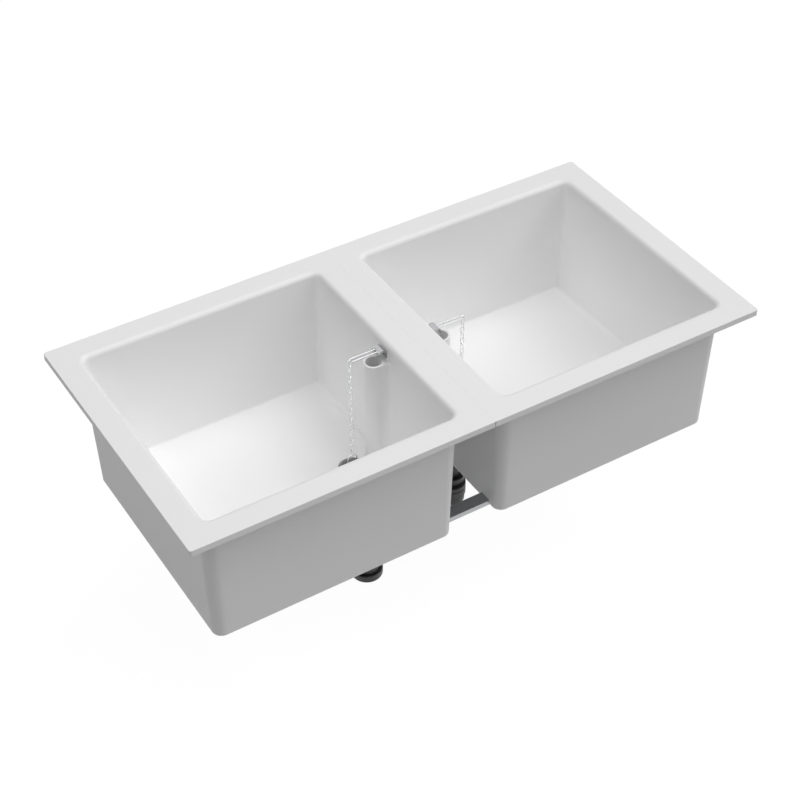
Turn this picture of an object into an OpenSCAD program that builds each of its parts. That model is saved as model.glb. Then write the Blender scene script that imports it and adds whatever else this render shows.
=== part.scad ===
// Laboratory double sink: two moulded drop-in basins butted along one joint,
// each with a half-round overflow column, a chained plug and its own waste,
// drained together through a cross pipe and one bottle trap.
// Millimetres. +X runs along the pair, +Y to the wall, +Z up.
// Z = 0 is the underside of the rim, where it rests on the worktop.

/* [Basins] */
// Width of one basin's rim, along the pair
module_w = 600; // [570:5:640]
// Depth of the rim, front to back
module_d = 600; // [570:5:640]
// Thickness of the rim
flange_t = 13; // [12:0.5:16]
// Radius of the rim's four outer corners
rim_corner_r = 5; // [2:0.5:12]
// Rounding of the rim's upper edge
edge_r = 1; // [0.5:0.25:1.5]
// Width of the sealed joint between the two basins
joint_w = 2; // [1:0.2:3]
// Width of a bowl's outside just under the rim
bowl_w = 514; // [490:2:520]
// Depth of a bowl's outside just under the rim, front to back
bowl_d = 514; // [490:2:530]
// Shift of each bowl from the middle of its rim towards the joint
bowl_shift = 1.5; // [0:0.5:4]
// Height of a bowl from the top of the rim to its foot
outer_depth = 296; // [260:1:320]
// Thickness of the bowl's walls
wall_t = 9; // [7:0.5:11]
// How far each wall leans in from top to bottom
draft = 9; // [6:0.5:11]
// Radius of the bowl's outside upright corners, at the top
corner_r = 29; // [23:1:34]
// Radius of the hollow's upright corners, at the top
inner_corner_r = 15; // [14:0.5:22]
// Radius of the rounded lip round the opening
lip_r = 10; // [6:1:12]
// Radius between the walls and the floor inside
floor_r = 6; // [3:0.5:8]
// Radius of the bowl's lower outside edge
foot_r = 3; // [1:0.5:5]
// Height from the foot to the edge of the floor inside
floor_t = 28; // [24:1:36]
// How far the floor falls from its edge to the waste
floor_fall = 14; // [8:1:16]
// Depth of the hollow under the floor
foot_recess = 6; // [2:0.5:8]
// Width of the foot left round that hollow
foot_w = 30; // [20:1:60]

/* [Overflow] */
// Distance of the overflow column's axis from the joint
column_x = 74; // [73.5:0.5:76]
// Bore of the column
column_bore = 30; // [24:0.5:30.5]
// Wall of the column
column_wall = 4.2; // [3:0.1:5]
// Radius of the hollow blend between the column and the wall
column_blend = 12; // [8:1:14]
// Height from the top of the rim to the column's open top
overflow_drop = 38; // [34:1:60]

/* [Waste] */
// Distance of the waste hole from the joint
waste_x = 124.5; // [124:0.5:125]
// Shift of the wastes and the overflows from the middle, towards the front
line_shift = 5; // [3:0.5:8]
// Outside diameter of the waste's metal flange
flange_d = 57; // [54:1:60]
// Thickness of that flange
flange_h = 3; // [2:0.5:4]
// Thickness of the rubber ring under it
gasket_t = 1.5; // [1:0.25:2]
// Outside diameter of the waste's neck
neck_d = 41; // [38:0.5:42]
// Wall of the neck
neck_wall = 1.6; // [1:0.1:2]
// Width of the strainer's bars
strainer_bar = 4; // [3:0.5:5]
// Distance of the drop pipes from the joint
tail_x = 102.5; // [102:0.5:103]
// Shift of the drums and the drain pipes from the middle, towards the front
drain_shift = 12; // [6:0.5:12]
// Outside radius of the waste body's drum
drum_r = 48; // [47.8:0.1:48.4]
// Wall of the plastic fittings
fitting_wall = 3.2; // [2.5:0.1:4]
// Outside radius of the waste body's upper rim
drum_rim_r = 49.2; // [48.8:0.1:49.6]
// Thickness of the rubber ring on the waste body
body_gasket_t = 2; // [1.5:0.5:3]
// Height of the drum's straight wall
drum_h = 26; // [24:1:30]
// Height of the cone under the drum
cone_h = 20; // [16:1:24]
// Diameter of the waste screw
screw_d = 6; // [5:0.5:8]

/* [Drain] */
// Outside diameter of the drop and outlet pipes
pipe_d = 40; // [38:0.5:41]
// Wall of every pipe
pipe_wall = 2.2; // [1.8:0.1:3]
// Outside diameter of the cross pipe
cross_d = 32; // [30:0.5:34]
// Length of a waste body's spigot
spigot_len = 26; // [22:1:34]
// Height of a union nut
nut_h = 19; // [17:0.5:22]
// Outside radius of the union nuts on the drop pipes
nut_r = 27; // [26.5:0.5:29]
// Free length of each drop pipe, spigot to tee
drop_gap = 42; // [30:1:60]
// Outside radius of the tee's barrel
tee_r = 28.7; // [28:0.1:31]
// Length of the tee's neck above its collar
tee_neck = 13; // [12:0.5:18]
// Height of the tee's upper collar
tee_collar = 12; // [12:0.5:16]
// Height of the tee's barrel under the collar
tee_barrel = 18; // [18:0.5:24]
// Outside radius of the cleaning cap
cap_r = 26.6; // [26:0.1:30]
// Height of the cleaning cap
cap_h = 21; // [14:0.5:24]
// Height of the trap's body
trap_h = 58; // [56:1:80]
// Radius of the trap's threaded skirt
skirt_r = 24; // [23:0.1:24.4]
// Outside radius of the trap's dip tube
dip_r = 15; // [13.5:0.1:15]
// Height of the trap's cup
cup_h = 43.5; // [42:0.5:80]
// Radius of the cup's grip foot
cup_foot_r = 33; // [28:0.5:34]
// Height of the grip foot
cup_foot_h = 18; // [12:0.5:24]
// Length of the outlet pipe beyond the trap's nut
outlet_len = 120; // [80:5:260]

/* [Plug and chain] */
// Diameter of the rubber plug at its top
plug_d = 38; // [34:0.5:39]
// Height of the rubber plug
plug_h = 11; // [8:0.5:12]
// Diameter of the plug's cap
cap_disc_d = 47; // [44:1:50]
// Radius of the bail's and the arm's wire
wire_r = 1.1; // [0.9:0.1:1.3]
// Width of the bail between its legs' middles
bail_w = 20; // [18:1:22]
// Height of the bail from its pivot to its top
bail_h = 22; // [16:1:24]
// Height of the stay arm's wire under the top of the rim
arm_drop = 14.5; // [14:0.5:20]
// Width of the stay arm between its wires' middles
arm_w = 9; // [8:0.5:11]
// Radius of the chain's wire
chain_wire_r = 0.95; // [0.8:0.05:1.1]
// Inside width of a chain link
link_w = 5.4; // [4.8:0.1:6.4]
// Inside length of a chain link, before it is fitted to the drop
link_len = 13; // [11:0.5:15]
// Length of the stay bracket along the wall
bracket_w = 24; // [20:1:28]
// How far the bracket stands out
bracket_out = 19; // [17:0.5:21]
// Height of the bracket
bracket_h = 20; // [19:0.5:22]
// Thickness of the bracket's metal
bracket_t = 1.6; // [1.2:0.1:2.5]

/* [Tie bars] */
// Width of a tie bar, front to back
bar_w = 27; // [20:1:34]
// Thickness of a tie bar
bar_t = 11; // [6:0.5:16]
// Distance of a bar's outer edge from the bowl's outside at the foot
bar_inset = 28; // [24:1:60]

/* [Hidden] */
$fn = 72;

// Clearance between fixed pieces that slide into each other
fit = 0.3;
// Radial clearance of pieces that turn or slide in use
run = 0.08;
// Overlap that keeps cuts clean
eps = 0.5;

// Levels, from the top down
rim_z = flange_t;
foot_z = rim_z - outer_depth;
floor_z = foot_z + floor_t;
column_z = rim_z - overflow_drop;
waste_z = floor_z - floor_fall;
recess_z = waste_z - flange_h - gasket_t;
body_z = foot_z - body_gasket_t;
drum_rim_t = 5;
spigot_z = body_z - drum_h - cone_h;
spigot_end_z = spigot_z - spigot_len;
tee_top_z = spigot_end_z - drop_gap;
collar_z = tee_top_z - tee_neck;
barrel_z = collar_z - tee_collar;
tee_end_z = barrel_z - tee_barrel;
cross_z = collar_z - (tee_collar + tee_barrel) / 2 + 4;
trap_top_z = tee_end_z - cap_h - 4;
trap_end_z = trap_top_z - trap_h;
outlet_z = trap_top_z - trap_h / 2;
cup_end_z = trap_end_z - cup_h;

// Bowl, seen from the joint
bowl_x = module_w / 2 - bowl_shift;
inner_w = bowl_w - 2 * wall_t;
inner_d = bowl_d - 2 * wall_t;
inner_r = inner_corner_r;
inner_end_r = inner_r - draft;
bottom_r = min(floor_r, inner_end_r);
lip_z = rim_z - lip_r;
wall_run = lip_z - floor_z - bottom_r;
wall_lean = atan(draft / wall_run);
outer_lean = atan(draft / (-foot_z - foot_r));
// Distance from the joint of the divider wall's two faces at a height
function wall_x(z) = bowl_x - inner_w / 2 + draft * (lip_z - z) / wall_run;
function outer_wall_x(z) = bowl_x - bowl_w / 2 + draft * -z / (-foot_z - foot_r);

column_r = column_bore / 2 + column_wall;
waste_hole_r = neck_d / 2 + 1;
pipe_r = pipe_d / 2;
cross_r = cross_d / 2;
seat_r = plug_d / 2;
neck_end_z = recess_z - 18;

// Chain, bail and arm
pivot_z = waste_z + 11;
arm_z = rim_z - arm_drop;
link_gap = 0.15;
// Inner faces of the end links, just clear of the arm's bow and the bail's bow
hook_gap = 0.3;
chain_top_z = arm_z + wire_r + hook_gap;
chain_low_z = pivot_z + bail_h - wire_r - hook_gap;
// An even number, so that the last link stands across the bail
link_count = 2 * round((chain_top_z - chain_low_z) / link_len / 2);
link_pitch = ceil(100 * (chain_top_z - chain_low_z - link_gap) / link_count) / 100;

// Each part below is drawn for the right-hand basin; the left one is its mirror image
module side(s) {
  mirror([s < 0 ? 1 : 0, 0, 0]) children();
}

// The same for the pieces at the wastes and the overflows
module on_line(s) {
  translate([0, -line_shift, 0]) side(s) children();
}

// The same for the drums and all that hangs from them
module on_drain(s) {
  translate([0, -drain_shift, 0]) side(s) children();
}

// Turned shape on an upright axis, from a half outline
module turned(points) {
  rotate_extrude($fn = 96) polygon(points);
}

module tube(r_out, r_in, z0, z1) {
  difference() {
    translate([0, 0, z0]) cylinder(r = r_out, h = z1 - z0);
    translate([0, 0, z0 - eps]) cylinder(r = r_in, h = z1 - z0 + 2 * eps);
  }
}

// Pan: one edge outline run along four sides and round four corners.
// The child is a 2D outline whose x = 0 is the corner's centre line.
module pan(w, d, r, z0, z1) {
  hx = w / 2 - r;
  hy = d / 2 - r;
  for (a = [[hx, hy, 0], [-hx, hy, 90], [-hx, -hy, 180], [hx, -hy, 270]])
    translate([a[0], a[1], 0]) rotate([0, 0, a[2]])
      rotate_extrude(angle = 90, $fn = 96) children();
  rotate([90, 0, 0]) linear_extrude(2 * hy, center = true) pan_section(hx, z0, z1) children();
  rotate([90, 0, 90]) linear_extrude(2 * hx, center = true) pan_section(hy, z0, z1) children();
}

module pan_section(h, z0, z1) {
  translate([h, 0]) children();
  mirror([1, 0]) translate([h, 0]) children();
  translate([-h, z0]) square([2 * h, z1 - z0]);
}

// Edge outline of the bowl's outside: leaning wall and rounded lower edge
module outer_edge() {
  end_r = corner_r - draft;
  polygon([[0, 0], [corner_r, 0], [end_r, foot_z + foot_r], [0, foot_z + foot_r]]);
  translate([0, foot_z]) square([end_r - foot_r, foot_r + eps]);
  intersection() {
    translate([end_r - foot_r, foot_z + foot_r]) circle(foot_r);
    translate([0, foot_z]) square([end_r, foot_r + eps]);
  }
}

// Edge outline of the hollow: rounded lip, leaning wall, rounded foot
module inner_edge() {
  difference() {
    translate([0, lip_z]) square([inner_r + lip_r, lip_r + 1]);
    translate([inner_r + lip_r, lip_z]) circle(lip_r);
  }
  polygon([[0, lip_z + eps], [inner_r, lip_z + eps], [inner_r, lip_z],
           [inner_end_r, floor_z + bottom_r], [0, floor_z + bottom_r]]);
  if (inner_end_r > bottom_r)
    translate([0, floor_z]) square([inner_end_r - bottom_r, bottom_r + eps]);
  intersection() {
    translate([inner_end_r - bottom_r, floor_z + bottom_r]) circle(bottom_r);
    translate([0, floor_z]) square([inner_end_r, bottom_r + eps]);
  }
}

module rounded_plate(w, d, r, h) {
  for (x = [-1, 1], y = [-1, 1])
    translate([x * (w / 2 - r), y * (d / 2 - r), 0]) cylinder(r = r, h = h);
  translate([-w / 2 + r, -d / 2, 0]) cube([w - 2 * r, d, h]);
  translate([-w / 2, -d / 2 + r, 0]) cube([w, d - 2 * r, h]);
}

// Rim of one basin: half of the pair's plate, cut square at the joint
module rim_plate() {
  difference() {
    pan(2 * module_w, module_d, rim_corner_r, 0, rim_z) rim_edge();
    translate([-2 * module_w, -module_d, -1]) cube([2 * module_w + joint_w / 2, 2 * module_d, flange_t + 2]);
  }
}

module rim_edge() {
  polygon([[0, 0], [rim_corner_r, 0], [rim_corner_r, rim_z - edge_r], [rim_corner_r - edge_r, rim_z], [0, rim_z]]);
  intersection() {
    translate([rim_corner_r - edge_r, rim_z - edge_r]) circle(edge_r, $fn = 40);
    translate([rim_corner_r - edge_r, rim_z - edge_r]) square(edge_r + 1);
  }
}

// Fall of the floor from its edge to the round seat of the waste
module floor_dish() {
  edge = 12;
  w = inner_w - 2 * draft - 2 * edge;
  d = inner_d - 2 * draft - 2 * edge;
  hull() {
    translate([bowl_x, 0, floor_z]) rounded_plate(w, d, 20, 1, $fn = 64);
    translate([waste_x, -line_shift, waste_z]) cylinder(r = flange_d / 2 + 6, h = 1, $fn = 64);
  }
}

// Upright column in front of the divider wall, blended into the wall on both sides
module column_body() {
  blend = column_blend;
  web_x = wall_x(floor_z) + 1;
  intersection() {
    union() {
      translate([column_x, 0, waste_z]) cylinder(r = column_r, h = column_z - waste_z);
      translate([web_x, -column_r, waste_z]) cube([column_x - web_x, 2 * column_r, column_z - waste_z]);
      on_wall(column_z) translate([0, 0, -outer_depth]) linear_extrude(outer_depth + 10) difference() {
        translate([-wall_t / 2, -column_r - blend]) square([wall_t / 2 + blend - 0.1, 2 * (column_r + blend)]);
        for (m = [0, 1]) mirror([0, m]) translate([blend - 0.1, column_r + blend - 0.1]) circle(blend);
      }
    }
    translate([0, -column_r - blend - 1, waste_z])
      cube([column_x + column_r + 1, 2 * (column_r + blend + 1), column_z - waste_z]);
  }
}

module column_hollow() {
  translate([column_x, 0, foot_z - 1]) cylinder(r = column_bore / 2, h = column_z - foot_z + 2);
}

// Stay bolt's place: through the wall above the column
bolt_r = 2.5;
bolt_z = arm_z - 10;
// Top of the stay bracket above the bolt, along the wall
bracket_top = arm_z - bolt_z + wire_r + bracket_t + 1.2;

module basin(s) {
  color("whitesmoke") side(s) difference() {
    union() {
      difference() {
        union() {
          rim_plate();
          translate([bowl_x, 0, 0]) pan(bowl_w, bowl_d, corner_r, foot_z, 0) outer_edge();
        }
        translate([bowl_x, 0, 0]) pan(inner_w, inner_d, inner_r, floor_z, rim_z + 1) inner_edge();
        floor_dish();
        foot_hollow();
      }
      translate([0, -line_shift, 0]) column_body();
    }
    translate([0, -line_shift, 0]) {
      column_hollow();
      translate([waste_x, 0, foot_z - 1]) cylinder(r = waste_hole_r, h = 60);
      translate([waste_x, 0, recess_z]) cylinder(r = flange_d / 2 + fit, h = 30);
      on_wall(bolt_z) translate([-wall_t - 8, 0, 0]) rotate([0, 90, 0]) cylinder(r = bolt_r + fit, h = wall_t + 12);
    }
  }
}

// Shallow hollow under the floor, leaving a foot all round and a boss for the waste body
module foot_hollow() {
  w = bowl_w - 2 * draft - 2 * foot_w;
  d = bowl_d - 2 * draft - 2 * foot_w;
  translate([0, 0, foot_z - 1]) difference() {
    translate([bowl_x, 0, 0]) rounded_plate(w, d, 30, foot_recess + 1);
    translate([tail_x, -drain_shift, -1]) cylinder(r = drum_rim_r + 4, h = foot_recess + 3);
    translate([tail_x - drum_rim_r - 60, -drain_shift - drum_rim_r - 4, -1])
      cube([60 + drum_rim_r, 2 * drum_rim_r + 8, foot_recess + 3]);
  }
}

// Elastic strip in the joint, sunk at the front and the back
bead_t = 1.5;

module joint_seal() {
  sink = 8;
  color("dimgray") translate([-joint_w / 2, -module_d / 2 + sink, 0])
    cube([joint_w, module_d - 2 * sink, flange_t - bead_t]);
}

// Pale bead that closes the joint flush with the top of the rims
module joint_bead() {
  sink = edge_r;
  color("whitesmoke") translate([-joint_w / 2, -module_d / 2 + sink, flange_t - bead_t])
    cube([joint_w, module_d - 2 * sink, bead_t]);
}

// Flat bar between the two bowls, its ends cut to the leaning walls
module tie_bar(s) {
  y1 = bowl_d / 2 - draft - bar_inset;
  top = outer_wall_x(foot_z + bar_t);
  low = outer_wall_x(foot_z);
  color("gainsboro") mirror([0, s < 0 ? 1 : 0, 0]) translate([0, y1, foot_z])
    rotate([90, 0, 0]) linear_extrude(bar_w)
      polygon([[-low, 0], [low, 0], [top, bar_t], [-top, bar_t]]);
}

// Metal flange with a tapered plug seat, a short neck and a cross strainer
module waste_flange(s) {
  r = flange_d / 2;
  neck_r = neck_d / 2;
  in_r = neck_r - neck_wall;
  top = waste_z;
  color("silver") on_line(s) translate([waste_x, 0, 0]) {
    difference() {
      union() {
        turned([[0, top - flange_h], [r, top - flange_h], [r, top - 1], [r - 1, top], [0, top]]);
        translate([0, 0, neck_end_z]) cylinder(r = neck_r, h = top - 1 - neck_end_z);
      }
      turned([[0, top + 1], [seat_r + run + 0.35, top + 1], [seat_r + run, top],
              [seat_r + run - plug_taper, top - plug_h], [in_r - 1.5, top - plug_h],
              [in_r - 1.5, top - plug_h - 2], [in_r, top - plug_h - 2], [in_r, neck_end_z + 3],
              [0, neck_end_z + 3]]);
      difference() {
        translate([0, 0, neck_end_z - 1]) cylinder(r = in_r, h = 5);
        for (a = [0, 90]) rotate([0, 0, a])
          translate([-neck_r, -strainer_bar / 2, neck_end_z - 2]) cube([2 * neck_r, strainer_bar, 7]);
        translate([0, 0, neck_end_z - 2]) cylinder(r = screw_d / 2 + 3, h = 7);
      }
      translate([0, 0, neck_end_z - 1]) cylinder(r = screw_d / 2 + fit, h = 8);
    }
  }
}
plug_taper = 1.2;

module flange_gasket(s) {
  color("black") on_line(s) translate([waste_x, 0, 0])
    tube(flange_d / 2 - 1, neck_d / 2 + fit, recess_z, recess_z + gasket_t);
}

// Drum under the floor that takes both the waste hole and the overflow
module waste_body(s) {
  in_r = drum_r - fitting_wall;
  low_r = pipe_r - fitting_wall;
  z1 = body_z - drum_h;
  post_z = neck_end_z - 5;
  post_x = waste_x - tail_x;
  post_y = drain_shift - line_shift;
  color([0.12, 0.12, 0.13]) on_drain(s) translate([tail_x, 0, 0]) {
    turned([[in_r, body_z], [drum_rim_r, body_z], [drum_rim_r, body_z - drum_rim_t],
            [drum_r, body_z - drum_rim_t - 2], [drum_r, z1], [pipe_r, spigot_z], [pipe_r, spigot_end_z],
            [low_r, spigot_end_z], [low_r, spigot_z + 1], [in_r, z1 + 1]]);
    intersection() {
      union() {
        translate([post_x, post_y, spigot_z]) cylinder(r = screw_d / 2 + 3.5, h = post_z - spigot_z);
        translate([post_x, post_y - 1.5, spigot_z]) cube([drum_r - post_x, 3, post_z - spigot_z - 3]);
        translate([-drum_r, post_y - 1.5, spigot_z]) cube([drum_r + post_x, 3, 12 + cone_h / 2]);
      }
      turned([[0, post_z + 5], [drum_r - 1, post_z + 5], [drum_r - 1, z1], [pipe_r - 1, spigot_z + 0.5],
              [0, spigot_z + 0.5]]);
      difference() {
        translate([-60, -60, spigot_z]) cube([120, 120, 100]);
        translate([post_x, post_y, post_z - 20]) cylinder(r = screw_d / 2, h = 40);
      }
    }
  }
}

module body_gasket(s) {
  color("black") on_drain(s) translate([tail_x, 0, 0])
    tube(drum_rim_r, drum_r - fitting_wall + 0.5, body_z, foot_z);
}

// Countersunk screw that pulls the flange and the drum together
module waste_screw(s) {
  z = neck_end_z + 3;
  color("silver") on_line(s) translate([waste_x, 0, 0]) difference() {
    turned([[0, z - 22], [screw_d / 2, z - 22], [screw_d / 2, z], [screw_d / 2 + 2.6, z],
            [screw_d / 2 + 2.6, z + 1.2], [screw_d / 2 + 1.4, z + 2.4], [0, z + 2.4]]);
    translate([-screw_d / 2 - 3, -0.6, z + 1.2]) cube([screw_d + 6, 1.2, 3]);
  }
}

// Union nut: smooth barrel, rolled edges, one grip groove and a lip over the pipe
module union_nut(r, h, thread_r, hole_r) {
  e = 1.5;
  turned([[hole_r, 0], [r - e, 0], [r, e], [r, h * 0.55], [r - 0.9, h * 0.55 + 0.9],
          [r - 0.9, h * 0.55 + 1.8], [r, h * 0.55 + 2.7], [r, h - e], [r - e, h],
          [thread_r, h], [thread_r, 4], [hole_r, 4]]);
}

// Tapered rubber ring, squeezed between a nut and a spigot
module taper_seal(r_out, r_in, h) {
  turned([[r_in, 0], [r_out, 0], [r_out, h * 0.4], [(r_out + r_in) / 2, h], [r_in, h]]);
}

seal_h = 5;
// The drop pipe is one size down from the spigots that it slides into
drop_r = pipe_r - fitting_wall - fit;

module waste_nut(s) {
  color([0.1, 0.1, 0.11]) on_drain(s) translate([tail_x, 0, spigot_end_z - seal_h - 4])
    union_nut(nut_r, nut_h + 4, pipe_r + fit, drop_r + fit);
}

module tail_pipe(s) {
  color([0.14, 0.14, 0.15]) on_drain(s) translate([tail_x, 0, 0])
    tube(drop_r, drop_r - pipe_wall, tee_top_z - 14, spigot_end_z + 18);
}

module tail_seals(s) {
  color("black") on_drain(s) translate([tail_x, 0, 0]) {
    translate([0, 0, spigot_end_z]) mirror([0, 0, 1])
      taper_seal(pipe_r, drop_r + 0.05, seal_h - 0.2);
    translate([0, 0, tee_top_z]) taper_seal(pipe_r, drop_r + 0.05, seal_h - 0.2);
  }
}

// Tee: ringed barrel with a socket above, a threaded spigot below and one side branch
tee_spigot_r = pipe_r + 2.4;
tee_spigot_h = 14;
branch_len = 52;
branch_r = cross_r + fit + fitting_wall - 1.4;

module tee(s) {
  in_r = pipe_r - fitting_wall;
  color([0.11, 0.11, 0.12]) on_drain(s) translate([tail_x, 0, 0]) difference() {
    union() {
      turned([[0, tee_top_z], [pipe_r, tee_top_z], [pipe_r, collar_z + 2], [tee_r - 2, collar_z],
              [tee_r, collar_z - 1.5], [tee_r, barrel_z + 1.2], [tee_r - 1.1, barrel_z + 0.6],
              [tee_r - 1.1, barrel_z - 0.4], [tee_r, barrel_z - 1.2], [tee_r, tee_end_z + 2],
              [tee_r - 1.4, tee_end_z], [tee_spigot_r, tee_end_z],
              [tee_spigot_r, tee_end_z - tee_spigot_h], [0, tee_end_z - tee_spigot_h]]);
      translate([0, 0, cross_z]) rotate([0, -90, 0]) cylinder(r = branch_r, h = branch_len);
    }
    translate([0, 0, tee_end_z - 20]) cylinder(r = in_r - 1, h = tee_top_z - tee_end_z + 30);
    translate([0, 0, tee_end_z - 20]) cylinder(r = trap_neck_r + fit, h = 23);
    translate([0, 0, tee_top_z - 15]) cylinder(r = in_r, h = 30);
    translate([0, 0, cross_z]) rotate([0, -90, 0]) cylinder(r = cross_r - 2, h = branch_len + 1);
    translate([16 - branch_len, 0, cross_z]) rotate([0, -90, 0]) cylinder(r = cross_r + fit, h = 20);
  }
}

module tee_nut(s) {
  color([0.1, 0.1, 0.11]) on_drain(s) translate([tail_x, 0, tee_top_z + seal_h + 4]) mirror([0, 0, 1])
    union_nut(nut_r - 1, nut_h - 5.5, pipe_r + fit, drop_r + fit);
}

// Cross pipe between the two tees' branches
module cross_pipe() {
  half = tail_x - branch_len + 13;
  color([0.14, 0.14, 0.15]) translate([0, -drain_shift, cross_z]) rotate([0, 90, 0])
    tube(cross_r, cross_r - pipe_wall, -half, half);
}

cross_nut_r = cross_r + 8;

module cross_pipe_nuts() {
  thread = branch_r + fit;
  color([0.1, 0.1, 0.11]) for (s = [-1, 1]) on_drain(s)
    translate([tail_x - branch_len - seal_h - 4, 0, cross_z]) rotate([0, 90, 0])
      union_nut(cross_nut_r, nut_h - 1, thread, cross_r + fit);
}

module cross_pipe_seals() {
  color("black") for (s = [-1, 1]) on_drain(s)
    translate([tail_x - branch_len, 0, cross_z]) rotate([0, -90, 0])
      taper_seal(branch_r, cross_r + 0.05, seal_h - 0.2);
}

// Nut that hangs the trap from the left tee
trap_neck_r = dip_r + fit + 2;

module trap_nut() {
  color([0.1, 0.1, 0.11]) on_drain(-1) translate([tail_x, 0, tee_end_z - tee_spigot_h - seal_h - 4])
    union_nut(cap_r + 0.8, 22, tee_spigot_r + fit, trap_neck_r + fit);
}

module trap_inlet_seal() {
  color("black") on_drain(-1) translate([tail_x, 0, tee_end_z - tee_spigot_h]) mirror([0, 0, 1])
    taper_seal(tee_spigot_r, trap_neck_r + 0.05, seal_h - 0.2);
}

// Trap body: plain neck, barrel with the outlet branch, threaded skirt for the cup
neck_top_z = tee_end_z + 1;
trap_branch = 46;
outlet_end_r = pipe_r - 1;
outlet_branch_r = pipe_r + fitting_wall - 1;

module trap_body() {
  r = tee_r - 1.5;
  barrel_top = trap_top_z - 7;
  color([0.11, 0.11, 0.12]) on_drain(-1) translate([tail_x, 0, 0]) difference() {
    union() {
      turned([[0, neck_top_z], [trap_neck_r, neck_top_z], [trap_neck_r, barrel_top + 3],
              [trap_neck_r + 3, barrel_top], [r - 2, barrel_top], [r, barrel_top - 2],
              [r, trap_end_z + 1.5], [r - 1.5, trap_end_z], [skirt_r, trap_end_z],
              [skirt_r, trap_end_z - 16], [0, trap_end_z - 16]]);
      translate([0, 0, outlet_z]) rotate([-90, 0, 0]) cylinder(r = outlet_branch_r, h = trap_branch);
    }
    translate([0, 0, trap_end_z - 17]) cylinder(r = skirt_r - fitting_wall, h = barrel_top - trap_end_z + 13);
    translate([0, 0, barrel_top - 20]) cylinder(r = dip_r + fit, h = 80);
    translate([0, 0, outlet_z]) rotate([-90, 0, 0]) cylinder(r = outlet_end_r - 2, h = trap_branch + 1);
    translate([0, trap_branch - 15, outlet_z]) rotate([-90, 0, 0]) cylinder(r = outlet_end_r + fit, h = 20);
  }
}

// Inner tube that keeps the water seal; its collar rests on the neck
module dip_tube() {
  color([0.2, 0.2, 0.21]) on_drain(-1) translate([tail_x, 0, 0])
    turned([[dip_r - pipe_wall, neck_top_z + 1.4], [trap_neck_r, neck_top_z + 1.4], [trap_neck_r, neck_top_z],
            [dip_r, neck_top_z], [dip_r, cup_end_z + 22], [dip_r - pipe_wall, cup_end_z + 22]]);
}

// Cup with a ringed grip foot; it unscrews for cleaning
module trap_cup() {
  r = skirt_r + run;
  wall = 2.6;
  foot_top = cup_end_z + cup_foot_h;
  color([0.13, 0.13, 0.14]) on_drain(-1) translate([tail_x, 0, 0])
    turned([[0, cup_end_z], [cup_foot_r - 4, cup_end_z], [cup_foot_r - 1.2, cup_end_z + 1.4],
            [cup_foot_r, cup_end_z + 4], [cup_foot_r, foot_top - 1.5], [cup_foot_r - 1.5, foot_top],
            [r + wall, foot_top + 0.5], [r + wall, trap_end_z - 1], [r, trap_end_z - 1],
            [r, cup_end_z + 14], [r - 6, cup_end_z + 6], [0, cup_end_z + 5]]);
}

module cup_seal() {
  color("black") on_drain(-1) translate([tail_x, 0, 0])
    tube(skirt_r + 2.4, skirt_r + 0.12, trap_end_z - 0.85, trap_end_z);
}

module outlet_nut() {
  color([0.1, 0.1, 0.11]) on_drain(-1)
    translate([tail_x, trap_branch + seal_h + 4, outlet_z]) rotate([90, 0, 0])
      union_nut(pipe_r + 7.5, nut_h + 1, outlet_branch_r + fit, outlet_end_r + fit);
}

module outlet_seal() {
  color("black") on_drain(-1) translate([tail_x, trap_branch, outlet_z]) rotate([-90, 0, 0])
    taper_seal(outlet_branch_r, outlet_end_r + 0.05, seal_h - 0.2);
}

// Outlet pipe: one size down where it runs in the nut, full size along its free end
module outlet_pipe() {
  y0 = trap_branch - 13;
  y1 = trap_branch + seal_h + 7;
  y2 = trap_branch + seal_h + 4 + outlet_len;
  color([0.14, 0.14, 0.15]) on_drain(-1) translate([tail_x, 0, outlet_z]) rotate([-90, 0, 0])
    turned([[outlet_end_r - pipe_wall, y0], [outlet_end_r, y0], [outlet_end_r, y1], [pipe_r, y1 + 2],
            [pipe_r, y2], [pipe_r - pipe_wall, y2], [pipe_r - pipe_wall, y1 + 2], [outlet_end_r - pipe_wall, y1]]);
}

// Cap that closes the right tee's lower end; it unscrews for cleaning
module cleaning_cap() {
  r = tee_spigot_r + run;
  top = tee_end_z - 1;
  low = tee_end_z - cap_h;
  color([0.13, 0.13, 0.14]) on_drain(1) translate([tail_x, 0, 0])
    turned([[0, low], [cap_r - 7, low], [cap_r - 3.2, low + 1.2], [cap_r - 0.9, low + 3.8], [cap_r, low + 7],
            [cap_r, top - 1], [cap_r - 1, top], [r, top], [r, low + 3], [0, low + 3]]);
}

module cap_seal() {
  color("black") on_drain(1) translate([tail_x, 0, 0])
    tube(tee_spigot_r + 1.8, tee_spigot_r + 0.12, tee_end_z - 0.85, tee_end_z);
}

// Tapered rubber plug
module plug(s) {
  r = seat_r;
  color([0.15, 0.15, 0.16]) on_line(s) translate([waste_x, 0, 0]) difference() {
    turned([[0, waste_z - plug_h + 1], [r - plug_taper * (plug_h - 1) / plug_h - 0.6, waste_z - plug_h + 1],
            [r - plug_taper * (plug_h - 2) / plug_h, waste_z - plug_h + 2], [r, waste_z],
            [r, waste_z + 0.6], [0, waste_z + 0.6]]);
    translate([0, 0, waste_z - plug_h]) cylinder(r = 4.1, h = plug_h + 2);
  }
}

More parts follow.
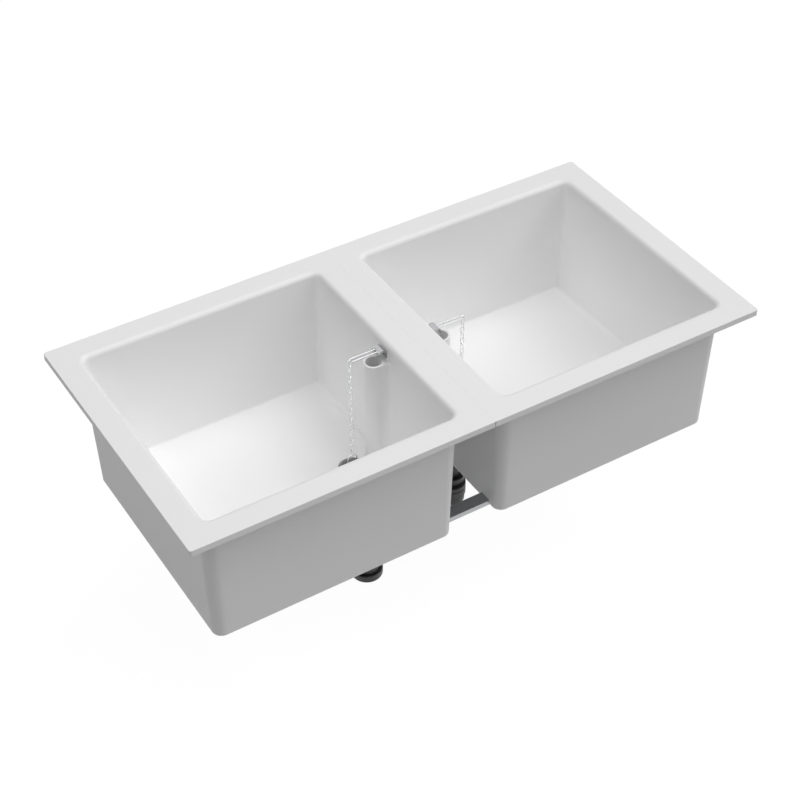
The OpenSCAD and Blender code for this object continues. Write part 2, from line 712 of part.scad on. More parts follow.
// Domed hard cap with its stud and the post that the bail turns in
module plug_cap(s) {
  z = waste_z + 0.6;
  r = cap_disc_d / 2;
  color([0.17, 0.17, 0.18]) on_line(s) translate([waste_x, 0, 0]) difference() {
    turned([[0, waste_z - plug_h - 1.2], [7, waste_z - plug_h - 1.2], [7, waste_z - plug_h + 1],
            [4, waste_z - plug_h + 1], [4, z], [r - 0.8, z], [r, z + 0.8], [r - 0.4, z + 1.8],
            [r * 0.72, z + 3.6], [r * 0.42, z + 4.9], [6.2, z + 5.6], [5, z + 6.6],
            [5, pivot_z + 2], [4, pivot_z + 3.2], [0, pivot_z + 3.2]]);
    translate([-10, 0, pivot_z]) rotate([0, 90, 0]) cylinder(r = wire_r + run, h = 20);
  }
}

// Bail: a closed wire bow whose lower side turns in the cap's post
module bail(s) {
  arc_r = bail_w / 2;
  leg = bail_h - arc_r;
  bend = 3;
  color("silver") on_line(s) translate([waste_x, 0, pivot_z]) {
    rotate([0, 90, 0]) cylinder(r = wire_r, h = bail_w - 2 * bend, center = true, $fn = 24);
    for (a = [[1, -90], [-1, 180]]) {
      translate([a[0] * (arc_r - bend), 0, bend]) rotate([90, 0, 0]) rotate([0, 0, a[1]])
        rotate_extrude(angle = 90) translate([bend, 0]) circle(wire_r, $fn = 24);
      translate([a[0] * arc_r, 0, bend]) cylinder(r = wire_r, h = leg - bend, $fn = 24);
    }
    translate([0, 0, leg]) rotate([90, 0, 0]) rotate_extrude(angle = 180)
      translate([arc_r, 0]) circle(wire_r, $fn = 24);
  }
}

// One closed wire link, upright, its long way along Z
module link(inside_len, inside_w, r) {
  h = inside_len - inside_w;
  mid = inside_w / 2 + r;
  for (a = [0, 180]) rotate([0, a, 0]) translate([0, 0, h / 2])
    rotate([90, 0, 0]) rotate_extrude(angle = 180) translate([mid, 0]) circle(r);
  for (x = [-mid, mid]) translate([x, 0, 0]) cylinder(r = r, h = h, center = true);
}

// Chain: links turned a quarter from one to the next, hung from the arm to the bail
module chain(s) {
  inside = link_pitch + link_gap;
  color("silver") on_line(s) for (i = [0 : link_count - 1])
    translate([waste_x, 0, chain_top_z - inside / 2 - link_pitch * i])
      rotate([0, 0, 90 * (i % 2)]) link(inside, link_w, chain_wire_r, $fn = 24);
}

// Divider wall's inner face as a plane: X out of the wall, Z up along it
module on_wall(z) {
  translate([wall_x(z), 0, z]) rotate([0, -wall_lean, 0]) children();
}

// Saddle clip: wall plate, round arch and a short front leg, slotted for the arm
module stay_bracket(s) {
  r = bracket_out / 2;
  bend_z = bracket_top - r;
  color("silver") on_line(s) on_wall(bolt_z) difference() {
    rotate([90, 0, 0]) linear_extrude(bracket_w, center = true) difference() {
      union() {
        translate([r, bend_z]) circle(r);
        translate([0, bracket_top - bracket_h]) square([r, bracket_h - r]);
        translate([r, bend_z - 4.5]) square([r, 4.5]);
      }
      translate([r, bend_z]) circle(r - bracket_t);
      translate([bracket_t, bracket_top - bracket_h - 1]) square([r - bracket_t, bracket_h - r + 1]);
      translate([r - eps, bend_z - 20]) square([r - bracket_t + eps, 20]);
    }
    translate([r, -arm_w / 2 - wire_r - fit, arm_z - bolt_z - wire_r - 1.2])
      cube([r + 2, arm_w + 2 * wire_r + 2 * fit, 2 * wire_r + 1.7]);
    translate([-1, 0, 0]) rotate([0, 90, 0]) cylinder(r = bolt_r + fit, h = bracket_t + 2);
  }
}

// Bolt through the wall, with its washer and nut behind
module stay_bolt(s) {
  wall = wall_t / cos(wall_lean) + 0.4;
  color("silver") on_line(s) on_wall(bolt_z) rotate([0, 90, 0]) {
    translate([0, 0, -wall - 8]) cylinder(r = bolt_r, h = wall + 8 + bracket_t + 0.5);
    translate([0, 0, bracket_t + 0.02]) difference() {
      cylinder(r = bolt_r + 2, h = 2.2);
      translate([-0.5, -bolt_r - 3, 1.2]) cube([1, 2 * bolt_r + 6, 2]);
    }
    translate([0, 0, -wall - 1.4]) cylinder(r = bolt_r + 3.5, h = 1.2);
    translate([0, 0, -wall - 5.5]) cylinder(r = bolt_r + 2.2, h = 4, $fn = 6);
  }
}

// Stay arm: one wire bent to a long closed loop, level from the bracket to above the plug
module stay_arm(s) {
  arch_r = bracket_out / 2 - bracket_t;
  inner = bracket_out / 2 - sqrt(2.4 * arch_r - 1.44) + 0.3;
  half = round(10 * (waste_x + wire_r - wall_x(arm_z) - inner) / 2) / 10;
  color("silver") on_line(s) translate([waste_x + wire_r - half, 0, arm_z]) rotate([0, 90, 0]) rotate([0, 0, 90])
    link(2 * half - 4 * wire_r, arm_w - 2 * wire_r, wire_r, $fn = 24);
}

basin(-1);  // left_basin
basin(1);  // right_basin
joint_seal();
joint_bead();
tie_bar(-1);  // front_tie_bar
tie_bar(1);  // rear_tie_bar
waste_flange(-1);  // left_waste_flange
waste_flange(1);  // right_waste_flange
flange_gasket(-1);  // left_flange_gasket
flange_gasket(1);  // right_flange_gasket
waste_body(-1);  // left_waste_body
waste_body(1);  // right_waste_body
body_gasket(-1);  // left_body_gasket
body_gasket(1);  // right_body_gasket
waste_screw(-1);  // left_waste_screw
waste_screw(1);  // right_waste_screw
waste_nut(-1);  // left_waste_nut
waste_nut(1);  // right_waste_nut
tail_pipe(-1);  // left_tail_pipe
tail_pipe(1);  // right_tail_pipe
tail_seals(-1);  // left_tail_seals
tail_seals(1);  // right_tail_seals
tee(-1);  // left_tee
tee(1);  // right_tee
tee_nut(-1);  // left_tee_nut
tee_nut(1);  // right_tee_nut
cross_pipe();
cross_pipe_nuts();
cross_pipe_seals();
trap_nut();
trap_inlet_seal();
trap_body();
dip_tube();
trap_cup();
cup_seal();
outlet_nut();
outlet_seal();
outlet_pipe();
cleaning_cap();
cap_seal();
plug(-1);  // left_plug
plug(1);  // right_plug
plug_cap(-1);  // left_plug_cap
plug_cap(1);  // right_plug_cap
bail(-1);  // left_bail
bail(1);  // right_bail
chain(-1);  // left_chain
chain(1);  // right_chain
stay_bracket(-1);  // left_stay_bracket
stay_bracket(1);  // right_stay_bracket
stay_bolt(-1);  // left_stay_bolt
stay_bolt(1);  // right_stay_bolt
stay_arm(-1);  // left_stay_arm
stay_arm(1);  // right_stay_arm
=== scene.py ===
"""Looks of the laboratory double sink: white cast basins, chained plugs, black drain fittings."""

import math

import bpy
from bpy.props import FloatProperty, FloatVectorProperty, IntProperty, PointerProperty
from mathutils import Matrix, Vector


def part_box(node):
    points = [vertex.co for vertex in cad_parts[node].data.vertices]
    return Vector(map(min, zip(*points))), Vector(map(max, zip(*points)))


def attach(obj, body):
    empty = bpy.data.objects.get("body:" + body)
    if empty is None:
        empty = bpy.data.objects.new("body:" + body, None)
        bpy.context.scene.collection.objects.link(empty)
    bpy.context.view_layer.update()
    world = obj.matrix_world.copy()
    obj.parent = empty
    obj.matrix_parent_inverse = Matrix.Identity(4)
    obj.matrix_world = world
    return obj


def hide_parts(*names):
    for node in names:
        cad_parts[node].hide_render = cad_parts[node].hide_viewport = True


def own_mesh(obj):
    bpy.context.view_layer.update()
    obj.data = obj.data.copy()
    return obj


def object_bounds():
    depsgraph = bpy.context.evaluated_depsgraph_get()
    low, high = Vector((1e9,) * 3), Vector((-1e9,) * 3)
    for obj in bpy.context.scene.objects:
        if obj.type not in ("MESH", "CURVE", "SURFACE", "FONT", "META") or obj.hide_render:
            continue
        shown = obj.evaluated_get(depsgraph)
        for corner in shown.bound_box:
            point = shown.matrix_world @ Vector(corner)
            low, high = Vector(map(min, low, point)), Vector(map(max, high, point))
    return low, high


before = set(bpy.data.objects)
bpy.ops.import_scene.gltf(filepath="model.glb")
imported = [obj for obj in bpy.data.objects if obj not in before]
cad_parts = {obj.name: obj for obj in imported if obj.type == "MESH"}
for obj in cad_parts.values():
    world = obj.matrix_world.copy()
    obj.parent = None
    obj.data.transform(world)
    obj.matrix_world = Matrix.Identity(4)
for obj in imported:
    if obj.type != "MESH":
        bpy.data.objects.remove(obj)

bl_info = {
    "name": "Laboratory double sink",
    "version": (1, 0, 0),
    "blender": (4, 5, 0),
    "location": "View3D > Sidebar > Sink",
    "description": "Finishes, chains and studio for a laboratory double sink",
    "category": "Object",
}

CAD_BOX = [list(corner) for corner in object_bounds()]
SIDES = ("left", "right")

# Most of a noise texture's values lie between these two
NOISE_LOW = 0.3
NOISE_HIGH = 0.7

# The joint between the basins, and the nuts' shade against the pipes
SEAL_COLOUR = (0.03, 0.03, 0.03)
BEAD_COLOUR = (0.93, 0.93, 0.93)
NUT_SHADE = 0.8

# Facets of a chain link, round the ring and round its wire, and the angles of a link in degrees
RING_SEGMENTS = 20
WIRE_SEGMENTS = 10
LINK_SMOOTH_ANGLE = 60
QUARTER_TURN = 90

# The soft box above, in metres
OVERHEAD_PLACE = (0, -0.35, 2.6)
OVERHEAD_TARGET = (0, -0.05, 0)
OVERHEAD_SIZE = 2.2

# Each broad light's side, and the angle in degrees that it spans
HIGH_SPREAD = 30
LOW_SPREAD = 60
BROAD_LIGHTS = (
    ("upper_right", (0.5, 0, 1), HIGH_SPREAD),
    ("upper_front", (0, -0.5, 1), HIGH_SPREAD),
    ("upper_left", (-1, 0, 1), HIGH_SPREAD),
    ("front_right", (1, -0.6, 1), HIGH_SPREAD),
    ("low_front", (0.8, -1, 0.4), LOW_SPREAD),
    ("low_left", (-1, 0.6, 0.4), LOW_SPREAD),
)

# The studio floor: white paper that glows to the camera and bounces little light
FLOOR_RADIUS = 14
FLOOR_EDGES = 64
PAPER_COLOUR = (0.9, 0.9, 0.9, 1)
PAPER_GLOW = 1.07
GLOW_SHARE = 0.9
BOUNCE_COLOUR = (0.4, 0.4, 0.4, 1)
ROOM_COLOUR = (1, 1, 1, 1)

SENSOR_WIDTH = 36
CLIP_END = 50


# Sizes and colours that a user would change

class SinkFinish(bpy.types.PropertyGroup):
    resin_colour: FloatVectorProperty(
        name="Basin resin", description="Colour of the cast basins", subtype="COLOR",
        size=3, min=0, max=1, default=(0.97, 0.97, 0.97))
    resin_roughness: FloatProperty(
        name="Basin roughness", description="Roughness of the cast basins",
        min=0.1, max=0.9, default=0.5)
    bar_colour: FloatVectorProperty(
        name="Tie bars", description="Colour of the two bars between the bowls", subtype="COLOR",
        size=3, min=0, max=1, default=(0.42, 0.43, 0.44))
    # Painted shade: the arm, clip and bolt have the same plating as the chain, set darker here to
    # dim their glints
    dimmed_arm_colour: FloatVectorProperty(
        name="Arm and clip", description="Colour of the plated arm, its clip and its bolt",
        subtype="COLOR", size=3, min=0, max=1, default=(0.5, 0.5, 0.51))
    # Painted light: the chain has the same plating as the arm, set lighter here so that its links
    # show brighter
    lit_chain_colour: FloatVectorProperty(
        name="Chain metal", description="Colour of the chain's bright links and the bail",
        subtype="COLOR", size=3, min=0, max=1, default=(0.86, 0.86, 0.87))
    flange_colour: FloatVectorProperty(
        name="Waste flange", description="Colour of the waste's steel flange", subtype="COLOR",
        size=3, min=0, max=1, default=(0.38, 0.38, 0.39))
    cap_colour: FloatVectorProperty(
        name="Plug cap", description="Colour of the hard cap on each plug", subtype="COLOR",
        size=3, min=0, max=1, default=(0.16, 0.16, 0.162))
    drain_colour: FloatVectorProperty(
        name="Drain plastic", description="Colour of the pipes and fittings", subtype="COLOR",
        size=3, min=0, max=1, default=(0.028, 0.028, 0.03))
    rubber_colour: FloatVectorProperty(
        name="Rubber", description="Colour of the plugs and seals", subtype="COLOR",
        size=3, min=0, max=1, default=(0.02, 0.02, 0.021))


class SinkChain(bpy.types.PropertyGroup):
    links: IntProperty(
        name="Links", description="Links in each chain, an even number", min=8, max=60, default=18)
    wire: FloatProperty(
        name="Wire radius", description="Radius of a link's wire", subtype="DISTANCE",
        unit="LENGTH", min=0.0004, max=0.003, default=0.00095)
    inside: FloatProperty(
        name="Inside width", description="Inside width of a link", subtype="DISTANCE",
        unit="LENGTH", min=0.002, max=0.01, default=0.0054)
    play: FloatProperty(
        name="Play", description="Free gap between two links", subtype="DISTANCE",
        unit="LENGTH", min=0, max=0.001, default=0.00015)


class SinkStudio(bpy.types.PropertyGroup):
    room: FloatProperty(
        name="Room light", description="Strength of the even light from all round",
        min=0, max=3, default=0.08)
    overhead: FloatProperty(
        name="Overhead box", description="Power of the soft box above, in watts",
        min=0, max=2000, default=17.1)
    upper_right: FloatProperty(
        name="Upper right", description="Strength of the soft light from the upper right",
        min=0, max=20, default=0.74)
    upper_front: FloatProperty(
        name="Upper front", description="Strength of the soft light from the upper front",
        min=0, max=20, default=0.282)
    upper_left: FloatProperty(
        name="Upper left", description="Strength of the soft light from the upper left",
        min=0, max=20, default=0.311)
    front_right: FloatProperty(
        name="Front right", description="Strength of the soft light from the right in front",
        min=0, max=20, default=0.39)
    low_front: FloatProperty(
        name="Low front", description="Strength of the broad light low in front on the right",
        min=0, max=20, default=0.436)
    low_left: FloatProperty(
        name="Low left", description="Strength of the broad light low on the left",
        min=0, max=20, default=0.06)
    floor_drop: FloatProperty(
        name="Floor drop", description="Distance from the trap's cup down to the floor",
        subtype="DISTANCE", unit="LENGTH", min=0.001, max=1, default=0.002)
    azimuth: FloatProperty(
        name="Camera azimuth", description="Camera's turn about Z in degrees",
        min=-180, max=180, default=-31.57)
    elevation: FloatProperty(
        name="Camera elevation", description="Camera's height angle in degrees",
        min=-90, max=90, default=40.95)
    roll: FloatProperty(
        name="Camera roll", description="Camera's roll in degrees", min=-10, max=10, default=-0.35)
    distance: FloatProperty(
        name="Camera distance", description="Distance from the camera to its target",
        subtype="DISTANCE", unit="LENGTH", min=0.5, max=10, default=3.2514)
    lens: FloatProperty(
        name="Lens", description="Focal length in millimetres on a 36 mm sensor",
        min=20, max=200, default=79.33)
    target: FloatVectorProperty(
        name="Camera target", description="Point that the camera looks at", subtype="TRANSLATION",
        unit="LENGTH", size=3, default=(-0.0687, -0.0907, -0.059))


# Finishes, as node trees over the object's own coordinates

def new_finish(name):
    material = bpy.data.materials.new(name)
    material.use_nodes = True
    tree = material.node_tree
    tree.nodes.clear()
    output = tree.nodes.new("ShaderNodeOutputMaterial")
    shader = tree.nodes.new("ShaderNodeBsdfPrincipled")
    tree.links.new(shader.outputs["BSDF"], output.inputs["Surface"])
    return material, tree, shader


def pattern(tree, scale, detail=3.0, stretch=(1, 1, 1)):
    """Noise over the object's coordinates, stretched along an axis where the finish has a grain."""
    place = tree.nodes.new("ShaderNodeTexCoord")
    mapping = tree.nodes.new("ShaderNodeMapping")
    mapping.inputs["Scale"].default_value = stretch
    noise = tree.nodes.new("ShaderNodeTexNoise")
    noise.inputs["Scale"].default_value = scale
    noise.inputs["Detail"].default_value = detail
    tree.links.new(place.outputs["Object"], mapping.inputs["Vector"])
    tree.links.new(mapping.outputs["Vector"], noise.inputs["Vector"])
    return noise


def vary_colour(tree, shader, noise, colour, spread):
    """Lets the noise shade the colour by the spread, a share of it, either way."""
    ramp = tree.nodes.new("ShaderNodeValToRGB")
    low = [max(0.0, c * (1 - spread)) for c in colour]
    high = [min(1.0, c * (1 + spread)) for c in colour]
    stops = zip(ramp.color_ramp.elements, (NOISE_LOW, NOISE_HIGH), (low, high))
    for stop, position, shade in stops:
        stop.position = position
        stop.color = (*shade, 1)
    tree.links.new(noise.outputs["Fac"], ramp.inputs["Fac"])
    tree.links.new(ramp.outputs["Color"], shader.inputs["Base Color"])


def vary_roughness(tree, shader, noise, low, high):
    spread = tree.nodes.new("ShaderNodeMapRange")
    spread.inputs["From Min"].default_value = NOISE_LOW
    spread.inputs["From Max"].default_value = NOISE_HIGH
    spread.inputs["To Min"].default_value = low
    spread.inputs["To Max"].default_value = high
    tree.links.new(noise.outputs["Fac"], spread.inputs["Value"])
    tree.links.new(spread.outputs["Result"], shader.inputs["Roughness"])


def relief(tree, shader, noise, strength, depth):
    """Lets the noise raise the surface by the depth in metres."""
    bump = tree.nodes.new("ShaderNodeBump")
    bump.inputs["Strength"].default_value = strength
    bump.inputs["Distance"].default_value = depth
    tree.links.new(noise.outputs["Fac"], bump.inputs["Height"])
    tree.links.new(bump.outputs["Normal"], shader.inputs["Normal"])


def cast_resin(colour, roughness):
    """Satin white resin: faint clouding, a moulded skin under it."""
    material, tree, shader = new_finish("cast_resin")
    clouds = pattern(tree, scale=5.0, detail=4.0)
    vary_colour(tree, shader, clouds, colour, spread=0.006)
    vary_roughness(tree, shader, pattern(tree, scale=40.0),
                   low=roughness - 0.04, high=roughness + 0.04)
    relief(tree, shader, pattern(tree, scale=700.0, detail=2.0), strength=0.05, depth=0.0002)
    shader.inputs["IOR"].default_value = 1.5
    return material


def sealant(name, colour):
    """Elastic sealant, slightly uneven where it was smoothed off."""
    material, tree, shader = new_finish(name)
    vary_colour(tree, shader, pattern(tree, scale=60.0), colour, spread=0.04)
    vary_roughness(tree, shader, pattern(tree, scale=200.0), low=0.5, high=0.65)
    relief(tree, shader, pattern(tree, scale=400.0), strength=0.2, depth=0.0002)
    return material


def drawn_steel(name, colour, stretch, low, high):
    """Steel with the fine lines of its drawing or turning along one axis."""
    material, tree, shader = new_finish(name)
    grain = pattern(tree, scale=120.0, detail=4.0, stretch=stretch)
    vary_colour(tree, shader, grain, colour, spread=0.05)
    vary_roughness(tree, shader, grain, low, high)
    relief(tree, shader, grain, strength=0.12, depth=0.0001)
    shader.inputs["Metallic"].default_value = 1.0
    return material


def plating(name, colour):
    """Bright plating with faint smears."""
    material, tree, shader = new_finish(name)
    smears = pattern(tree, scale=150.0)
    vary_colour(tree, shader, smears, colour, spread=0.03)
    vary_roughness(tree, shader, smears, low=0.07, high=0.16)
    shader.inputs["Metallic"].default_value = 1.0
    return material


def moulded_plastic(name, colour, roughness):
    """Dark moulded plastic: fine spark-eroded skin and slight flow marks."""
    material, tree, shader = new_finish(name)
    vary_colour(tree, shader, pattern(tree, scale=30.0, detail=4.0), colour, spread=0.18)
    vary_roughness(tree, shader, pattern(tree, scale=90.0),
                   low=roughness - 0.06, high=roughness + 0.06)
    relief(tree, shader, pattern(tree, scale=1200.0, detail=2.0), strength=0.15, depth=0.0002)
    return material


def rubber(name, colour):
    """Dull rubber with a dusty bloom."""
    material, tree, shader = new_finish(name)
    vary_colour(tree, shader, pattern(tree, scale=80.0, detail=4.0), colour, spread=0.25)
    vary_roughness(tree, shader, pattern(tree, scale=160.0), low=0.6, high=0.8)
    relief(tree, shader, pattern(tree, scale=900.0, detail=2.0), strength=0.2, depth=0.0002)
    return material


def finish_of(name, make):
    """The named material, made the first time that it is asked for."""
    return bpy.data.materials.get(name) or make()


def wear(material, *nodes):
    """Gives the CAD nodes a finish."""
    for node in nodes:
        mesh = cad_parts[node].data
        mesh.materials.clear()
        mesh.materials.append(material)


def chain_finish():
    colour = bpy.context.scene.sink_finish.lit_chain_colour
    # The chain's plating, lighter than the arm's: painted light
    return finish_of("chain_plating", lambda: plating("chain_plating", tuple(colour)))


def rubber_finish():
    colour = bpy.context.scene.sink_finish.rubber_colour
    return finish_of("seal_rubber", lambda: rubber("seal_rubber", tuple(colour)))


# Modelling helpers

def select_nothing():
    if bpy.context.object is not None and bpy.context.object.mode != "OBJECT":
        bpy.ops.object.mode_set(mode="OBJECT")
    bpy.ops.object.select_all(action="DESELECT")


def select_only(piece):
    select_nothing()
    piece.select_set(True)
    bpy.context.view_layer.objects.active = piece


def settle(piece, name, material, angle):
    """Names a finished piece, puts its place into its mesh and gives it its finish."""
    select_only(piece)
    bpy.ops.object.transform_apply(location=True, rotation=True, scale=True)
    piece.name = name
    piece.data.name = name
    piece.data.materials.clear()
    piece.data.materials.append(material)
    bpy.ops.object.shade_smooth_by_angle(angle=math.radians(angle))
    return piece


class SINK_OT_basins(bpy.types.Operator):
    """Finishes the two basins, the joint between them and the tie bars"""
    bl_idname = "sink.basins"
    bl_label = "Basins and tie bars"

    def execute(self, context):
        finish = context.scene.sink_finish
        wear(cast_resin(tuple(finish.resin_colour), finish.resin_roughness),
             "left_basin", "right_basin")
        wear(sealant("joint_sealant", SEAL_COLOUR), "joint_seal")
        wear(sealant("bead_sealant", BEAD_COLOUR), "joint_bead")
        bars = drawn_steel("bar_steel", tuple(finish.bar_colour), stretch=(6, 0.4, 6),
                           low=0.28, high=0.42)
        wear(bars, "front_tie_bar", "rear_tie_bar")
        return {"FINISHED"}


class SINK_OT_waste(bpy.types.Operator):
    """Finishes the waste flanges, plugs, bails, arms and clips"""
    bl_idname = "sink.waste"
    bl_label = "Wastes and plugs"

    def execute(self, context):
        finish = context.scene.sink_finish
        steel = drawn_steel("turned_steel", tuple(finish.flange_colour), stretch=(1, 1, 8),
                            low=0.16, high=0.28)
        # The arm, clip and bolt: the chain's plating set darker, painted shade that dims their
        # glints
        bright = plating("bright_plating", tuple(finish.dimmed_arm_colour))
        cap = moulded_plastic("cap_plastic", tuple(finish.cap_colour), roughness=0.38)
        for side in SIDES:
            wear(steel, side + "_waste_flange", side + "_waste_screw")
            wear(cap, side + "_plug_cap")
            wear(bright, side + "_stay_bracket", side + "_stay_bolt", side + "_stay_arm")
            wear(chain_finish(), side + "_bail", side + "_chain")
            wear(rubber_finish(), side + "_plug", side + "_flange_gasket")
        return {"FINISHED"}


class SINK_OT_chains(bpy.types.Operator):
    """Links the two plug chains between their stay arms and bails"""
    bl_idname = "sink.chains"
    bl_label = "Plug chains"

    def execute(self, context):
        chain = context.scene.sink_chain
        for side in SIDES:
            low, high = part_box(side + "_chain")
            x = (low.x + high.x) / 2
            y = (low.y + high.y) / 2
            top = high.z - 2 * chain.wire
            length = high.z - low.z - 4 * chain.wire
            pitch = (length - chain.play) / chain.links
            inside = pitch + chain.play
            links = self.copies(context, self.draw_link(chain, inside), chain.links)
            for i, link in enumerate(links):
                link.location = (x, y, top - inside / 2 - pitch * i)
                link.rotation_euler = (0, 0, math.radians(QUARTER_TURN) * (i % 2))
            first = self.joined(context, links)
            piece = settle(first, side + "_chain_links", chain_finish(), LINK_SMOOTH_ANGLE)
            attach(piece, "sink")
            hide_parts(side + "_chain")
            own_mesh(piece)
        return {"FINISHED"}

    def draw_link(self, chain, inside):
        """A closed link: an upright ring, its halves drawn apart to the inside length."""
        stretch = (inside - chain.inside) / 2
        select_nothing()
        bpy.ops.mesh.primitive_torus_add(
            major_segments=RING_SEGMENTS, minor_segments=WIRE_SEGMENTS,
            major_radius=chain.inside / 2 + chain.wire, minor_radius=chain.wire,
            rotation=(math.radians(QUARTER_TURN), 0, 0))
        link = bpy.context.object
        bpy.ops.object.transform_apply(location=False, rotation=True, scale=False)
        self.turn_half_step(link)
        for sign in (1, -1):
            bpy.ops.object.mode_set(mode="EDIT")
            bpy.ops.mesh.select_all(action="DESELECT")
            bpy.ops.object.mode_set(mode="OBJECT")
            for vertex in link.data.vertices:
                vertex.select = vertex.co.z * sign > 0
            bpy.ops.object.mode_set(mode="EDIT")
            bpy.ops.transform.translate(value=(0, 0, sign * stretch))
        bpy.ops.object.mode_set(mode="OBJECT")
        return link

    @staticmethod
    def copies(context, first, count):
        """The first link and its copies, count in all."""
        links = [first]
        for _ in range(1, count):
            link = first.copy()
            link.data = first.data.copy()
            context.scene.collection.objects.link(link)
            links.append(link)
        return links

    @staticmethod
    def joined(context, links):
        """All links in one object, the first one's."""
        select_nothing()
        for link in links:
            link.select_set(True)
        context.view_layer.objects.active = links[0]
        bpy.ops.object.join()
        return links[0]

    @staticmethod
    def turn_half_step(ring):
        """Turns the ring by half a segment, so that its middle edges can be drawn out straight."""
        select_only(ring)
        ring.rotation_euler = (0, math.pi / RING_SEGMENTS, 0)
        bpy.ops.object.transform_apply(location=False, rotation=True, scale=False)


class SINK_OT_drain(bpy.types.Operator):
    """Finishes the waste bodies, pipes, tees, trap and their seals"""
    bl_idname = "sink.drain"
    bl_label = "Drain fittings"

    def execute(self, context):
        colour = tuple(context.scene.sink_finish.drain_colour)
        body = moulded_plastic("fitting_plastic", colour, roughness=0.42)
        nut = moulded_plastic("nut_plastic", tuple(c * NUT_SHADE for c in colour), roughness=0.36)
        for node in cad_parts:
            if node.endswith(("_waste_body", "_tail_pipe", "_tee", "trap_body", "dip_tube",
                              "outlet_pipe", "cross_pipe")):
                wear(body, node)
            elif node.endswith(("_nut", "_nuts", "trap_cup", "cleaning_cap")):
                wear(nut, node)
            elif ("seal" in node and node != "joint_seal") or node.endswith("body_gasket"):
                wear(rubber_finish(), node)
        return {"FINISHED"}


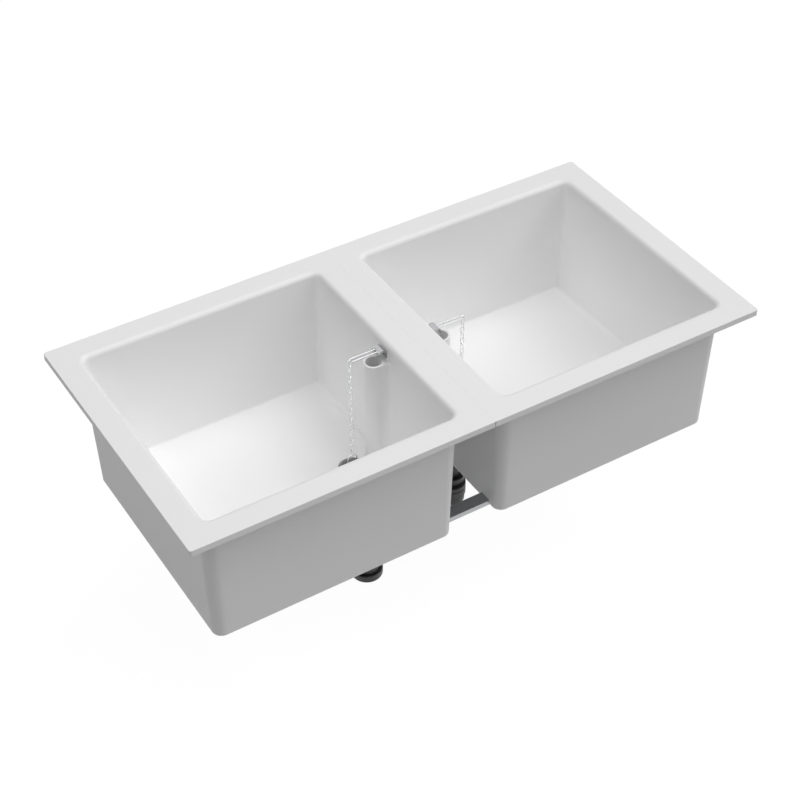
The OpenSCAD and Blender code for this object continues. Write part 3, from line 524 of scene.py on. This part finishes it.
class SINK_OT_studio(bpy.types.Operator):
    """Sets the floor, the soft light and the camera at the photograph's angle"""
    bl_idname = "sink.studio"
    bl_label = "Studio"

    def execute(self, context):
        studio = context.scene.sink_studio
        self.add_floor(context, studio)
        self.add_room(context, studio)
        self.add_soft_box("overhead_box", OVERHEAD_PLACE, OVERHEAD_TARGET, OVERHEAD_SIZE,
                          studio.overhead)
        for name, source, spread in BROAD_LIGHTS:
            self.add_broad_light(name, source, spread, getattr(studio, name))
        self.add_camera(context, studio)
        context.scene.view_settings.view_transform = "Standard"
        return {"FINISHED"}

    @staticmethod
    def white_to_camera(tree, plain, white):
        """Camera, glossy and transmission rays see the second shader, all others the first."""
        path = tree.nodes.new("ShaderNodeLightPath")
        seen = path.outputs["Is Camera Ray"]
        for name in ("Is Glossy Ray", "Is Transmission Ray"):
            both = tree.nodes.new("ShaderNodeMath")
            both.operation = "MAXIMUM"
            tree.links.new(seen, both.inputs[0])
            tree.links.new(path.outputs[name], both.inputs[1])
            seen = both.outputs[0]
        mix = tree.nodes.new("ShaderNodeMixShader")
        tree.links.new(seen, mix.inputs["Fac"])
        tree.links.new(plain, mix.inputs[1])
        tree.links.new(white, mix.inputs[2])
        return mix

    def add_floor(self, context, studio):
        low = CAD_BOX[0][2] - studio.floor_drop
        select_nothing()
        bpy.ops.mesh.primitive_circle_add(
            vertices=FLOOR_EDGES, radius=FLOOR_RADIUS, fill_type="NGON", location=(0, 0, low))
        floor = context.object
        floor.name = "studio_floor"
        material = bpy.data.materials.new("floor_paper")
        material.use_nodes = True
        tree = material.node_tree
        tree.nodes.clear()
        output = tree.nodes.new("ShaderNodeOutputMaterial")
        bounce = tree.nodes.new("ShaderNodeBsdfDiffuse")
        bounce.inputs["Color"].default_value = BOUNCE_COLOUR
        paper = tree.nodes.new("ShaderNodeBsdfDiffuse")
        paper.inputs["Color"].default_value = PAPER_COLOUR
        lit = tree.nodes.new("ShaderNodeEmission")
        lit.inputs["Strength"].default_value = PAPER_GLOW
        both = tree.nodes.new("ShaderNodeMixShader")
        both.inputs["Fac"].default_value = GLOW_SHARE
        tree.links.new(paper.outputs[0], both.inputs[1])
        tree.links.new(lit.outputs[0], both.inputs[2])
        mix = self.white_to_camera(tree, bounce.outputs[0], both.outputs[0])
        tree.links.new(mix.outputs[0], output.inputs["Surface"])
        floor.data.materials.append(material)

    def add_room(self, context, studio):
        world = bpy.data.worlds.new("studio_room")
        world.use_nodes = True
        context.scene.world = world
        tree = world.node_tree
        tree.nodes.clear()
        output = tree.nodes.new("ShaderNodeOutputWorld")
        plain = tree.nodes.new("ShaderNodeBackground")
        plain.inputs["Strength"].default_value = studio.room
        white = tree.nodes.new("ShaderNodeBackground")
        for background in (plain, white):
            background.inputs["Color"].default_value = ROOM_COLOUR
        mix = self.white_to_camera(tree, plain.outputs[0], white.outputs[0])
        tree.links.new(mix.outputs[0], output.inputs["Surface"])

    @staticmethod
    def add_soft_box(name, place, target, size, power):
        """A square soft box at one place, turned to its target."""
        data = bpy.data.lights.new(name, "AREA")
        data.size = size
        data.energy = power
        lamp = bpy.data.objects.new(name, data)
        bpy.context.scene.collection.objects.link(lamp)
        look = Vector(target) - Vector(place)
        lamp.location = place
        lamp.rotation_euler = look.to_track_quat("-Z", "Y").to_euler()

    @staticmethod
    def add_broad_light(name, source, angle, strength):
        """Even light from far away, over a disc that spans the angle in degrees."""
        data = bpy.data.lights.new(name, "SUN")
        data.angle = math.radians(angle)
        data.energy = strength
        lamp = bpy.data.objects.new(name, data)
        bpy.context.scene.collection.objects.link(lamp)
        lamp.rotation_euler = (-Vector(source)).to_track_quat("-Z", "Y").to_euler()

    @staticmethod
    def add_camera(context, studio):
        a, e, r = (math.radians(v) for v in (studio.azimuth, studio.elevation, studio.roll))
        back = Vector((math.sin(a) * math.cos(e), -math.cos(a) * math.cos(e), math.sin(e)))
        level = Vector((math.cos(a), math.sin(a), 0))
        upright = back.cross(level)
        right = level * math.cos(r) + upright * math.sin(r)
        up = upright * math.cos(r) - level * math.sin(r)
        data = bpy.data.cameras.new("photo_camera")
        data.lens = studio.lens
        data.sensor_width = SENSOR_WIDTH
        data.clip_end = CLIP_END
        camera = bpy.data.objects.new("photo_camera", data)
        context.scene.collection.objects.link(camera)
        turn = Matrix((right, up, back)).transposed().to_4x4()
        place = Matrix.Translation(Vector(studio.target) + back * studio.distance)
        camera.matrix_world = place @ turn
        context.scene.camera = camera


class SINK_PT_panel(bpy.types.Panel):
    """Lists the sink's steps and sizes"""
    bl_idname = "SINK_PT_panel"
    bl_label = "Laboratory double sink"
    bl_space_type = "VIEW_3D"
    bl_region_type = "UI"
    bl_category = "Sink"

    def draw(self, context):
        layout = self.layout
        scene = context.scene
        for group in (scene.sink_finish, scene.sink_chain, scene.sink_studio):
            box = layout.box()
            for name in group.bl_rna.properties.keys():
                if name not in ("rna_type", "name"):
                    box.prop(group, name)
        for operator in STEPS:
            layout.operator(operator.bl_idname)


STEPS = (SINK_OT_basins, SINK_OT_waste, SINK_OT_chains, SINK_OT_drain, SINK_OT_studio)
CLASSES = (SinkFinish, SinkChain, SinkStudio) + STEPS + (SINK_PT_panel,)


def register():
    for cls in CLASSES:
        bpy.utils.register_class(cls)
    bpy.types.Scene.sink_finish = PointerProperty(type=SinkFinish)
    bpy.types.Scene.sink_chain = PointerProperty(type=SinkChain)
    bpy.types.Scene.sink_studio = PointerProperty(type=SinkStudio)


def unregister():
    del bpy.types.Scene.sink_studio
    del bpy.types.Scene.sink_chain
    del bpy.types.Scene.sink_finish
    for cls in reversed(CLASSES):
        bpy.utils.unregister_class(cls)


def main():
    register()
    bpy.ops.sink.basins()
    bpy.ops.sink.waste()
    bpy.ops.sink.chains()
    bpy.ops.sink.drain()
    bpy.ops.sink.studio()


if __name__ == "__main__":
    main()
